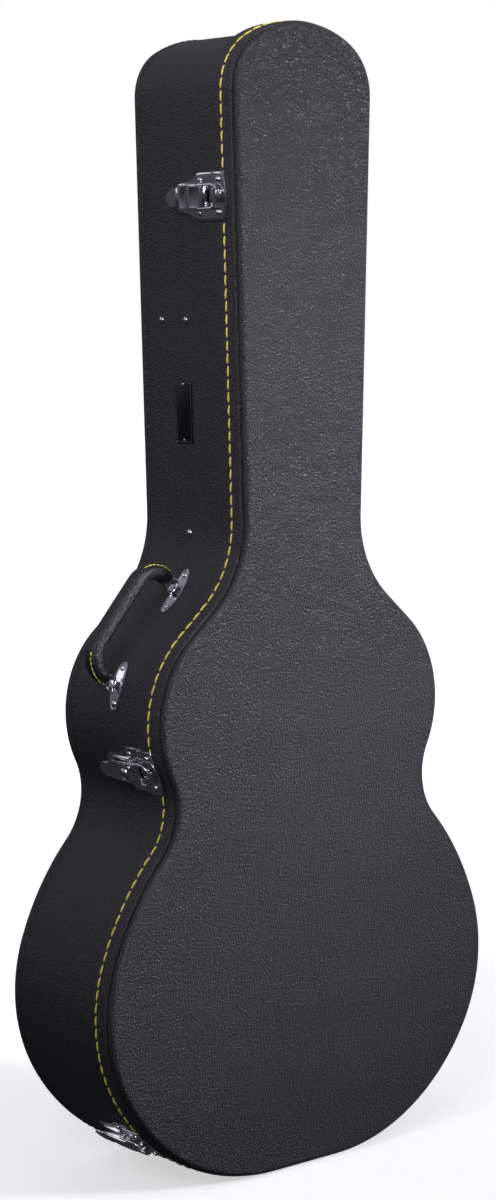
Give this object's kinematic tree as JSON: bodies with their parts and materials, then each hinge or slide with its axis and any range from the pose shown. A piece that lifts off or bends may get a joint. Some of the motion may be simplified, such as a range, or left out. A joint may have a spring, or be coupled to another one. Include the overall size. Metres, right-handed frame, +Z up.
{
  "type": "guitar case",
  "caption": "Hard shell case for a jumbo acoustic guitar: plywood body and hinged lid under grained black vinyl, draw latches, carrying handle, padded inside with a neck rest and accessory box.",
  "frame": {"origin": "on the floor under the middle of the case, at the foot on which it stands", "axes": "+Z up along the case from its foot to its head, +Y from the lid towards the back, -X towards the handle and latches"},
  "size_m": [0.4933, 0.162, 1.12],
  "materials": {
    "vinyl": "fine pebble grain, low sheen",
    "grip": "smooth padded vinyl with a soft gloss",
    "chrome": "polished",
    "plush": "short pile",
    "ribbon": "woven",
    "badge": "gloss black with a light border"
  },
  "bodies": {
    "body": {"badge": "badge", "body_back_panel": "vinyl", "body_floor_pad": "plush", "body_side_left": "vinyl", "body_side_pad": "plush", "body_side_right": "vinyl", "body_tongue": "plush", "compartment_end_lower": "plush", "compartment_end_upper": "plush", "compartment_rivet_lower": "chrome", "compartment_rivet_upper_back": "chrome", "compartment_rivet_upper_front": "chrome", "handle_bracket_lower": "chrome", "handle_bracket_upper": "chrome", "handle_screw_lower_a": "chrome", "handle_screw_lower_b": "chrome", "handle_screw_upper_a": "chrome", "handle_screw_upper_b": "chrome", "hinge_lower_body_leaf": "chrome", "hinge_lower_pin": "chrome", "hinge_upper_body_leaf": "chrome", "hinge_upper_pin": "chrome", "latch_bottom_base": "chrome", "latch_bottom_rivet_lower": "chrome", "latch_bottom_rivet_upper": "chrome", "latch_middle_base": "chrome", "latch_middle_rivet_lower": "chrome", "latch_middle_rivet_upper": "chrome", "latch_top_base": "chrome", "latch_top_rivet_lower": "chrome", "latch_top_rivet_upper": "chrome", "neck_cradle": "plush"},
    "lid": {"hinge_lower_lid_leaf": "chrome", "hinge_upper_lid_leaf": "chrome", "latch_bottom_catch": "chrome", "latch_bottom_catch_rivet_lower": "chrome", "latch_bottom_catch_rivet_upper": "chrome", "latch_middle_catch": "chrome", "latch_middle_catch_rivet_lower": "chrome", "latch_middle_catch_rivet_upper": "chrome", "latch_top_catch": "chrome", "latch_top_catch_rivet_lower": "chrome", "latch_top_catch_rivet_upper": "chrome", "lid_pad": "plush", "lid_panel": "vinyl", "lid_rim_left": "vinyl", "lid_rim_right": "vinyl"},
    "handle": {"handle_grip": "grip", "handle_loop_lower": "chrome", "handle_loop_upper": "chrome"},
    "compartment_cover": {"compartment_lid": "plush", "compartment_pull": "ribbon"},
    "latch_top_lever_body": {"latch_top_lever": "chrome"},
    "latch_top_bail_body": {"latch_top_bail": "chrome"},
    "latch_middle_lever_body": {"latch_middle_lever": "chrome"},
    "latch_middle_bail_body": {"latch_middle_bail": "chrome"},
    "latch_bottom_lever_body": {"latch_bottom_lever": "chrome"},
    "latch_bottom_bail_body": {"latch_bottom_bail": "chrome"},
    "lock_barrel": {"latch_middle_lock": "chrome"}
  },
  "joints": [
    {"name": "lid_hinge", "type": "hinge", "parent": "body", "child": "lid", "pos_m": [0.24367, -0.0415, 0.21476], "axis": [-0.1793, 0, 0.9838], "range_deg": [0, 100]},
    {"name": "latch_top_lever", "type": "hinge", "parent": "body", "child": "latch_top_lever_body", "pos_m": [-0.08713, -0.0365, 0.95364], "axis": [-0.0279, 0, 0.9996], "range_deg": [0, 100]},
    {"name": "latch_top_bail", "type": "hinge", "parent": "latch_top_lever_body", "child": "latch_top_bail_body", "pos_m": [-0.08713, -0.0295, 0.95364], "axis": [-0.0279, 0, 0.9996], "range_deg": [-115.5, 0]},
    {"name": "latch_middle_lever", "type": "hinge", "parent": "body", "child": "latch_middle_lever_body", "pos_m": [-0.17267, -0.0365, 0.41051], "axis": [-0.3847, 0, 0.923], "range_deg": [0, 100]},
    {"name": "latch_middle_bail", "type": "hinge", "parent": "latch_middle_lever_body", "child": "latch_middle_bail_body", "pos_m": [-0.17267, -0.0295, 0.41051], "axis": [-0.3847, 0, 0.923], "range_deg": [-115.5, 0]},
    {"name": "latch_bottom_lever", "type": "hinge", "parent": "body", "child": "latch_bottom_lever_body", "pos_m": [-0.1823, -0.0365, 0.05005], "axis": [-0.7455, 0, 0.6665], "range_deg": [0, 100]},
    {"name": "latch_bottom_bail", "type": "hinge", "parent": "latch_bottom_lever_body", "child": "latch_bottom_bail_body", "pos_m": [-0.1823, -0.0295, 0.05005], "axis": [-0.7455, 0, 0.6665], "range_deg": [-115.5, 0]},
    {"name": "lock_turn", "type": "hinge", "parent": "latch_middle_lever_body", "child": "lock_barrel", "pos_m": [-0.17821, -0.0215, 0.4082], "axis": [-0.923, 0, -0.3847], "range_deg": [0, 90]},
    {"name": "handle_swing", "type": "hinge", "parent": "body", "child": "handle", "pos_m": [-0.13808, -0.002, 0.53461], "axis": [0.6499, 0, 0.76], "range_deg": [-60, 60]},
    {"name": "compartment_cover_hinge", "type": "hinge", "parent": "body", "child": "compartment_cover", "pos_m": [0.0565, -0.0193, 0.7345], "axis": [0, 0, 1], "range_deg": [0, 20]}
  ],
  "couplings": [
    {"joint": "latch_top_bail", "follows": "latch_top_lever", "ratio": -1.15},
    {"joint": "latch_middle_bail", "follows": "latch_middle_lever", "ratio": -1.15},
    {"joint": "latch_bottom_bail", "follows": "latch_bottom_lever", "ratio": -1.15}
  ]
}
